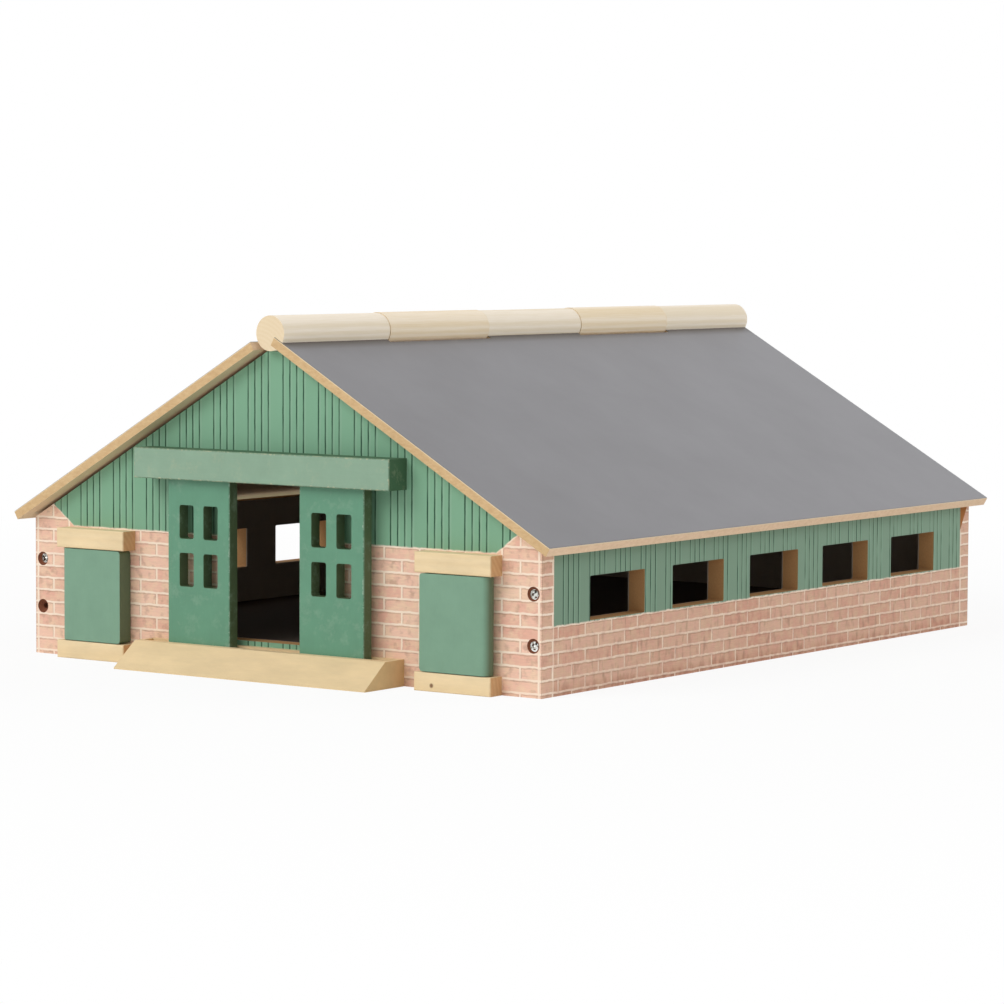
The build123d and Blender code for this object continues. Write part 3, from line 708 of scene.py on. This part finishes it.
def roof_board(name, timber):
    """Fibreboard under a grey melamine film: smooth on top, raw tan edges with a painted
    highlight under the film, beige below as painted light.
    """
    finish, tree, shader, place = new_finish(name, roughness=0.45, specular=0.4)
    spots = add_node(tree, "ShaderNodeSeparateXYZ", {0: place}).node.outputs
    across = ("ABSOLUTE", spots["X"])
    over_ridge = ("SUBTRACT", spots["Z"], RIDGE_Z)
    # Height square to the slope and reach along it, both from the hinge's axis
    rise, run = math.sin(ROOF_PITCH), math.cos(ROOF_PITCH)
    height = ("ADD", ("MULTIPLY", across, rise), ("MULTIPLY", over_ridge, run))
    reach = ("SUBTRACT", ("MULTIPLY", across, run), ("MULTIPLY", over_ridge, rise))
    top = add_node(tree, "ShaderNodeMix", {
        0: ("GREATER_THAN", spots["X"], 0.0), 2: timber.left_rise, 3: timber.right_rise})
    depth = add_node(tree, ("SUBTRACT", top, height))
    on_top = add_node(tree, ("LESS_THAN", depth, timber.film))
    on_bevel = ("LESS_THAN", depth, timber.film + timber.bevel)
    under = ("GREATER_THAN", depth, timber.roof_board - SKIN)
    fibres = drawn_out(tree, place, (0.25, 0.25, 0.6), 6.0, 0.75)
    end_cut = add_node(tree, "ShaderNodeMix", {
        0: add_node(tree, "ShaderNodeMapRange", {
            "Value": fibres, "From Min": 0.3, "From Max": 0.75}),
        6: timber.roof_edge, 7: timber.roof_edge_deep}, **COLOUR_MIX)
    eave_cut = add_node(tree, "ShaderNodeMix", {
        0: add_node(tree, "ShaderNodeMapRange", {
            "Value": fibres, "From Min": 0.35, "From Max": 0.85, "To Max": 0.6}),
        6: timber.eave_edge, 7: timber.roof_edge_deep}, **COLOUR_MIX)
    at_eave = ("LESS_THAN", facing(tree, "Y"), 0.5)
    cut_edge = add_node(tree, "ShaderNodeMix", {0: at_eave, 6: end_cut, 7: eave_cut},
                        **COLOUR_MIX)
    # Painted highlight in part: a paler band just below the film, on the eased edge's fibres
    bevelled = add_node(tree, "ShaderNodeMix", {
        0: ("MULTIPLY", on_bevel, 0.6), 6: cut_edge, 7: timber.bevel_highlight}, **COLOUR_MIX)
    # Painted light: the lower face takes a pale beige, lighter than the board, against its
    # shade
    lower = add_node(tree, "ShaderNodeMix", {
        0: under, 6: bevelled,
        7: raw_board(tree, place, timber.underside_lightened, timber.roof_edge)}, **COLOUR_MIX)
    clouds = add_node(tree, "ShaderNodeTexNoise", {
        "Vector": place, "Scale": 0.018, "Detail": 5.0, "Roughness": 0.6})
    # The film is paler towards the rear, besides its random clouds
    paler = add_node(tree, "ShaderNodeMapRange", {
        "Value": spots["Y"], "From Min": FRONT_Y, "From Max": REAR_Y, "To Min": -0.15,
        "To Max": 0.45})
    film = add_node(tree, "ShaderNodeMix", {
        0: ("ADD", clouds, paler), 6: timber.roof, 7: timber.roof_pale}, **COLOUR_MIX)
    # Painted shade: a dark band where the dowels meet the film stands in for the shadow in the
    # gap under them
    film = add_node(tree, "ShaderNodeMix", {
        0: add_node(tree, "ShaderNodeMapRange", {
            "Value": reach, "From Min": timber.ridge_shade_end, "From Max": timber.ridge_shade_start,
            "To Max": 0.75}),
        6: film, 7: timber.ridge_shade}, **COLOUR_MIX)
    tree.links.new(
        add_node(tree, "ShaderNodeMapRange", {
            "Value": on_top, "To Min": 0.85, "To Max": 0.45}), shader.inputs["Roughness"])
    coat(tree, shader, add_node(tree, "ShaderNodeMix", {0: on_top, 6: lower, 7: film},
                                **COLOUR_MIX), fibres, 0.08)
    return finish


def bare_board(name, pale, dark):
    """Raw fibreboard of the floor: matt brown with fine fibres, made dark as painted shade
    inside the barn.
    """
    finish, tree, shader, place = new_finish(name, roughness=0.9, specular=0.2)
    tree.links.new(raw_board(tree, place, pale, dark), shader.inputs["Base Color"])
    return finish


def zinc_steel(name, zinc, dulled):
    """Zinc plate on steel: sharp glints between dull worn patches 2 mm across."""
    finish, tree, shader, place = new_finish(name, roughness=0.3, metallic=1.0)
    crystals = add_node(tree, "ShaderNodeTexNoise", {
        "Vector": place, "Scale": 0.5, "Detail": 4.0, "Roughness": 0.6})
    dull = add_node(tree, "ShaderNodeMapRange", {
        "Value": crystals, "From Min": 0.45, "From Max": 0.58})
    tree.links.new(
        add_node(tree, "ShaderNodeMapRange", {
            "Value": dull, "To Min": 0.2, "To Max": 0.5}), shader.inputs["Roughness"])
    tree.links.new(
        add_node(tree, "ShaderNodeMix", {0: dull, 6: zinc, 7: dulled}, **COLOUR_MIX),
        shader.inputs["Base Color"])
    return finish


# ---------------------------------------------------------------- screws
def screw_tree(finish):
    """Geometry Nodes: a cross-head screw on each point, by the point's turn and size."""
    tree = bpy.data.node_groups.new("corner_screws", "GeometryNodeTree")
    tree.interface.new_socket("Geometry", in_out="INPUT", socket_type="NodeSocketGeometry")
    for size in ("Head", "Shank", "Length", "Recess", "Recess Width", "Recess Depth"):
        tree.interface.new_socket(size, in_out="INPUT", socket_type="NodeSocketFloat")
    tree.interface.new_socket("Geometry", in_out="OUTPUT", socket_type="NodeSocketGeometry")
    given = tree.nodes.new("NodeGroupInput").outputs
    head_radius = add_node(tree, ("MULTIPLY", given["Head"], 0.5))
    shank_radius = add_node(tree, ("MULTIPLY", given["Shank"], 0.5))
    cone_height = add_node(tree, ("SUBTRACT", head_radius, shank_radius))
    head = add_node(tree, "GeometryNodeTransform", {
        "Geometry": add_node(tree, "GeometryNodeMeshCone", {
            "Vertices": 40, "Radius Top": head_radius, "Radius Bottom": shank_radius,
            "Depth": cone_height}),
        "Translation": add_node(tree, "ShaderNodeCombineXYZ", {
            "Z": ("MULTIPLY", cone_height, -1.0)})})
    arms = [
        add_node(tree, "GeometryNodeMeshCube", {
            "Size": add_node(tree, "ShaderNodeCombineXYZ", {
                long_way: given["Recess"], short_way: given["Recess Width"],
                "Z": ("MULTIPLY", given["Recess Depth"], 2.0)})})
        for long_way, short_way in (("X", "Y"), ("Y", "X"))]
    cut = tree.nodes.new("GeometryNodeMeshBoolean")
    cut.operation = "DIFFERENCE"
    tree.links.new(head, cut.inputs["Mesh 1"])
    for arm in arms:
        tree.links.new(arm, cut.inputs["Mesh 2"])
    shank = add_node(tree, "GeometryNodeTransform", {
        "Geometry": add_node(tree, "GeometryNodeMeshCone", {
            "Vertices": 20, "Radius Top": shank_radius, "Radius Bottom": 0.0002,
            "Depth": ("SUBTRACT", given["Length"], cone_height)}),
        "Translation": add_node(tree, "ShaderNodeCombineXYZ", {
            "Z": ("MULTIPLY", given["Length"], -1.0)})})
    join = tree.nodes.new("GeometryNodeJoinGeometry")
    for part in (shank, cut.outputs[0]):
        tree.links.new(part, join.inputs[0])
    turn = add_node(tree, "FunctionNodeEulerToRotation", {
        0: add_node(tree, "GeometryNodeInputNamedAttribute", {"Name": "turn"},
                    data_type="FLOAT_VECTOR")})
    placed = add_node(tree, "GeometryNodeInstanceOnPoints", {
        "Points": given["Geometry"], "Instance": join.outputs[0], "Rotation": turn,
        "Scale": add_node(tree, "GeometryNodeInputNamedAttribute", {"Name": "size"},
                          data_type="FLOAT")})
    real = add_node(tree, "GeometryNodeRealizeInstances", {0: placed})
    done = add_node(tree, "GeometryNodeSetMaterial", {"Geometry": real, "Material": finish})
    add_node(tree, "NodeGroupOutput", {0: done})
    return tree


def screw_points(sizes):
    """A mesh with one point for each screw's head, and each screw's turn and size."""
    head = sizes.head / MM
    points, turns, scales = [], [], []
    # Lean over X and over Z, spin in degrees, mm sunk and aside, and size: from the left
    # to the right, and low before high. The first is smaller to fit deep in its hole.
    front = ((0.2, 0.3, 38, 5.5, 0.0, 0.8), (0.6, -1.2, 47, 0.6, 0.5, 0.95),
             (-1.6, 1.6, 75, 0.7, 0.6, 0.95), (-1.2, 2.0, 100, 0.7, 0.6, 0.95))
    rear = ((-0.4, 0.3, 20, 0.2, 0.1, 0.95), (0.5, -0.4, 64, 0.1, -0.2, 0.95),
            (-0.3, 0.4, 38, 0.3, 0.1, 0.95), (0.5, 0.3, 75, 0.2, 0.0, 0.95))
    for node, facing_y, ways in (("corner_screws_front", 1, front),
                                 ("corner_screws_rear", -1, rear)):
        low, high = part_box(node)
        face = low.y if facing_y > 0 else high.y
        places = [(x, z) for x in (low.x + head / 2, high.x - head / 2)
                  for z in (low.z + head / 2, high.z - head / 2)]
        outwards = Euler((facing_y * math.pi / 2, 0.0, 0.0)).to_matrix()
        for (x, z), (lean_x, lean_z, spin, sink, aside, scale) in zip(places, ways):
            points.append((x + aside / MM, face + facing_y * sink / MM, z))
            lean = Euler((lean_x * sizes.lean, lean_z * sizes.lean, 0.0)).to_matrix()
            spun = Euler((0.0, 0.0, math.radians(spin))).to_matrix()
            turns.append((outwards @ lean @ spun).to_euler())
            scales.append(scale)
    mesh = bpy.data.meshes.new("screw_points")
    mesh.from_pydata(points, [], [])
    for name, kind in (("turn", "FLOAT_VECTOR"), ("size", "FLOAT")):
        mesh.attributes.new(name, kind, "POINT")
    for index, (turn, size) in enumerate(zip(turns, scales)):
        mesh.attributes["turn"].data[index].vector = turn
        mesh.attributes["size"].data[index].value = size
    return mesh


def mesh_of(helper, name):
    """The evaluated mesh of a helper object as a plain object, without the helper."""
    evaluated = helper.evaluated_get(bpy.context.evaluated_depsgraph_get())
    mesh = bpy.data.meshes.new_from_object(evaluated)
    mesh.name = name
    piece = bpy.data.objects.new(name, mesh)
    bpy.context.scene.collection.objects.link(piece)
    bpy.data.objects.remove(helper)
    return piece


# ---------------------------------------------------------------- stage
def lamp(name, power, size, place, target):
    """A soft square lamp that looks at a target."""
    light = bpy.data.lights.new(name, "AREA")
    light.energy = power
    light.size = size
    holder = bpy.data.objects.new(name, light)
    holder.location = place
    holder.rotation_euler = (Vector(target) - Vector(place)).to_track_quat(
        "-Z", "Y").to_euler()
    bpy.context.scene.collection.objects.link(holder)


def seen_directly(tree):
    """1 for what the camera sees, straight or in metal and glass, else 0."""
    rays = add_node(tree, "ShaderNodeLightPath").node.outputs
    mirrored = ("MAXIMUM", rays["Is Glossy Ray"], rays["Is Transmission Ray"])
    return add_node(tree, ("MAXIMUM", rays["Is Camera Ray"], mirrored))


def paper_floor(stage):
    """A sheet of pale paper on the ground, that looks white and keeps a soft shadow."""
    half = stage.floor
    mesh = bpy.data.meshes.new("floor_paper")
    mesh.from_pydata([(-half, -half, 0), (half, -half, 0), (half, half, 0),
                      (-half, half, 0)], [], [(0, 1, 2, 3)])
    paper = bpy.data.objects.new("floor_paper", mesh)
    bpy.context.scene.collection.objects.link(paper)
    finish = bpy.data.materials.new("studio_paper")
    finish.use_nodes = True
    tree = finish.node_tree
    shader = tree.nodes["Principled BSDF"]
    shader.inputs["Base Color"].default_value = stage.paper
    shader.inputs["Roughness"].default_value = 0.9
    shader.inputs["Specular IOR Level"].default_value = 0.0
    white = add_node(tree, "ShaderNodeEmission", {"Strength": 1.0})
    away = add_node(tree, "ShaderNodeVectorMath", {
        0: add_node(tree, "ShaderNodeTexCoord", output="Object")},
        output="Value", operation="LENGTH")
    whiter = add_node(tree, "ShaderNodeMapRange", {
        "Value": away, "From Min": 0.35, "From Max": 1.1, "To Min": 0.9, "To Max": 1.0})
    share = ("MULTIPLY", seen_directly(tree), whiter)
    mixed = add_node(tree, "ShaderNodeMixShader", {
        0: share, 1: shader.outputs[0], 2: white})
    tree.links.new(mixed, tree.nodes["Material Output"].inputs["Surface"])
    mesh.materials.append(finish)


def white_room(stage):
    """The world: white where it is seen, and plain soft light elsewhere."""
    world = bpy.data.worlds.new("white_room")
    world.use_nodes = True
    tree = world.node_tree
    sky = tree.nodes["Background"]
    sky.inputs["Color"].default_value = (1.0, 1.0, 1.0, 1.0)
    tree.links.new(
        add_node(tree, "ShaderNodeMapRange", {
            "Value": seen_directly(tree), "To Min": stage.sky, "To Max": 1.0}),
        sky.inputs["Strength"])
    bpy.context.scene.world = world


def studio_camera(stage):
    """The camera, from its place and its three turns."""
    yaw, pitch, roll = stage.camera_yaw, stage.camera_pitch, stage.camera_roll
    ahead = Vector((-math.sin(yaw) * math.cos(pitch), math.cos(yaw) * math.cos(pitch),
                    -math.sin(pitch)))
    level = Vector((math.cos(yaw), math.sin(yaw), 0.0))
    upright = level.cross(ahead)
    right = math.cos(roll) * level + math.sin(roll) * upright
    up = math.cos(roll) * upright - math.sin(roll) * level
    data = bpy.data.cameras.new("studio_camera")
    data.lens = stage.lens
    data.sensor_width = 36.0
    data.clip_start = 0.05
    data.clip_end = 100.0
    camera = bpy.data.objects.new("studio_camera", data)
    camera.matrix_world = Matrix.Translation(stage.camera_place) @ Matrix(
        (right, up, -ahead)).transposed().to_4x4()
    bpy.context.scene.collection.objects.link(camera)
    bpy.context.scene.camera = camera


# ---------------------------------------------------------------- operators
class BARN_OT_printed_boards(bpy.types.Operator):
    """Print bricks and planks on the gables and the side walls"""
    bl_idname = "barn.printed_boards"
    bl_label = "Printed boards"

    def execute(self, context):
        prints = context.scene.barn_print
        dress(printed_board("printed_board_front", "front", prints), "front_gable")
        dress(printed_board("printed_board_rear", "rear", prints), "rear_gable")
        dress(printed_board("printed_board_walls", "wall", prints),
              "left_wall", "right_wall")
        return {"FINISHED"}


class BARN_OT_floor_board(bpy.types.Operator):
    """Give the floor board its raw brown face, darkened as painted shade"""
    bl_idname = "barn.floor_board"
    bl_label = "Floor board"

    def execute(self, context):
        timber = context.scene.barn_timber
        dress(bare_board("raw_floor_board", timber.floor, timber.floor_dark),
              "floor_board")
        return {"FINISHED"}


class BARN_OT_roof_panels(bpy.types.Operator):
    """Give both roof panels their grey film and raw edges"""
    bl_idname = "barn.roof_panels"
    bl_label = "Roof panels"

    def execute(self, context):
        dress(roof_board("melamine_roof_board", context.scene.barn_timber),
              "roof_panel_left", "roof_panel_right")
        return {"FINISHED"}


class BARN_OT_ridge(bpy.types.Operator):
    """Give the ridge's knuckles their beech and the rod its steel"""
    bl_idname = "barn.ridge"
    bl_label = "Ridge hinge"

    def execute(self, context):
        timber = context.scene.barn_timber
        # The beech colours are set paler in part as painted light
        dress(dowel("pale_beech", timber.dowel, timber.dowel_late, timber.dowel_end),
              "ridge_knuckle_1", "ridge_knuckle_3", "ridge_knuckle_5")
        dress(dowel("yellow_beech", timber.yellow, timber.yellow_late, timber.dowel_end),
              "ridge_knuckle_2", "ridge_knuckle_4")
        dress(zinc_steel("rod_steel", timber.zinc, timber.zinc_dull), "ridge_rod")
        return {"FINISHED"}


class BARN_OT_main_doors(bpy.types.Operator):
    """Paint the sliding doors and the header that they hang behind"""
    bl_idname = "barn.main_doors"
    bl_label = "Main doors and header"

    def execute(self, context):
        timber = context.scene.barn_timber
        for door in ("main_door_left", "main_door_right"):
            dress(painted_wood("green_enamel_" + door, timber.main_door,
                               timber.main_door_edge, 0.5, (1.2, 1.2, 0.12), 0.35,
                               timber.chip, box_mm(door)), door)
        dress(painted_wood("thin_green_paint", timber.header, timber.header_edge,
                           0.65, (0.05, 1.1, 1.1), 0.25, timber.header_chip,
                           box_mm("door_header")), "door_header")
        return {"FINISHED"}


class BARN_OT_small_doors(bpy.types.Operator):
    """Paint the small doors and give their pins plated steel"""
    bl_idname = "barn.small_doors"
    bl_label = "Small doors"

    def execute(self, context):
        timber = context.scene.barn_timber
        # The small doors' edge colour is partly painted shade
        dress(painted_wood("pale_green_enamel", timber.small_door,
                           timber.small_door_edge_shaded, 0.5, (1.2, 1.2, 0.12)),
              "small_door_left", "small_door_right")
        dress(zinc_steel("pin_steel", timber.zinc, timber.zinc_dull),
              "small_door_left_pins", "small_door_right_pins")
        return {"FINISHED"}


class BARN_OT_pine_pieces(bpy.types.Operator):
    """Give the ramp and the four rails bare pine"""
    bl_idname = "barn.pine_pieces"
    bl_label = "Ramp and rails"

    def execute(self, context):
        timber = context.scene.barn_timber
        dress(pine("planed_pine_ramp", timber.ramp, timber.pine_late, timber.ramp_end,
                   timber.knot, 0.03), "ramp")
        dress(pine("planed_pine_rails", timber.pine, timber.pine_late, timber.rail_end,
                   timber.knot, 0.18),
              "upper_rail_left", "upper_rail_right", "lower_rail_left",
              "lower_rail_right")
        return {"FINISHED"}


class BARN_OT_corner_screws(bpy.types.Operator):
    """Make the cross-head screws that hold the gables"""
    bl_idname = "barn.corner_screws"
    bl_label = "Corner screws"

    def execute(self, context):
        sizes = context.scene.barn_screw
        timber = context.scene.barn_timber
        finish = zinc_steel("screw_steel", timber.zinc, timber.zinc_dull)
        helper = bpy.data.objects.new("screw_points", screw_points(sizes))
        context.scene.collection.objects.link(helper)
        tree = screw_tree(finish)
        modifier = helper.modifiers.new("screws", "NODES")
        modifier.node_group = tree
        wanted = {"Head": sizes.head - sizes.play, "Shank": sizes.shank, "Length": sizes.length,
                  "Recess": sizes.recess, "Recess Width": sizes.recess_wide,
                  "Recess Depth": sizes.recess_deep}
        for socket in tree.interface.items_tree:
            if socket.name in wanted:
                modifier[socket.identifier] = wanted[socket.name] / MM
        piece = mesh_of(helper, "corner_screws")
        if not piece.data.polygons:
            raise RuntimeError("the corner screws came out empty")
        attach(piece, "house")
        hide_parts("corner_screws_front", "corner_screws_rear")
        return {"FINISHED"}


class BARN_OT_stage(bpy.types.Operator):
    """Set up the floor, the lamps, the white room and the camera"""
    bl_idname = "barn.stage"
    bl_label = "Stage"

    def execute(self, context):
        stage = context.scene.barn_stage
        context.scene.view_settings.view_transform = "Standard"
        paper_floor(stage)
        white_room(stage)
        lamp("key_lamp", stage.key, 2.0, (-1.0, -2.6, 2.3), (0.0, 0.0, 0.08))
        lamp("fill_lamp", stage.fill, 2.0, (2.8, -0.6, 1.5), (0.0, 0.0, 0.08))
        lamp("back_lamp", stage.back, 1.6, (1.9, 2.2, 1.9), (0.0, 0.1, 0.08))
        studio_camera(stage)
        return {"FINISHED"}


class VIEW3D_PT_toy_barn(bpy.types.Panel):
    """The barn's sizes, colours and operators"""
    bl_label = "Toy Barn"
    bl_idname = "VIEW3D_PT_toy_barn"
    bl_space_type = "VIEW_3D"
    bl_region_type = "UI"
    bl_category = "Toy Barn"

    def draw(self, context):
        for group in GROUPS:
            box = self.layout.box()
            settings = getattr(context.scene, group)
            for setting in GROUPS[group].__annotations__:
                box.prop(settings, setting)
        for operator in OPERATORS:
            self.layout.operator(operator.bl_idname)


GROUPS = {"barn_print": BarnPrint, "barn_timber": BarnTimber, "barn_screw": BarnScrew,
          "barn_stage": BarnStage}
OPERATORS = (BARN_OT_printed_boards, BARN_OT_floor_board, BARN_OT_roof_panels,
             BARN_OT_ridge, BARN_OT_main_doors, BARN_OT_small_doors,
             BARN_OT_pine_pieces, BARN_OT_corner_screws, BARN_OT_stage)


def register():
    for cls in (*GROUPS.values(), *OPERATORS, VIEW3D_PT_toy_barn):
        bpy.utils.register_class(cls)
    for name, group in GROUPS.items():
        setattr(bpy.types.Scene, name, bpy.props.PointerProperty(type=group))


def unregister():
    for name in GROUPS:
        delattr(bpy.types.Scene, name)
    for cls in reversed((*GROUPS.values(), *OPERATORS, VIEW3D_PT_toy_barn)):
        bpy.utils.unregister_class(cls)


def main():
    """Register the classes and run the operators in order."""
    register()
    for operator in OPERATORS:
        group, action = operator.bl_idname.split(".")
        getattr(getattr(bpy.ops, group), action)()


if __name__ == "__main__":
    main()
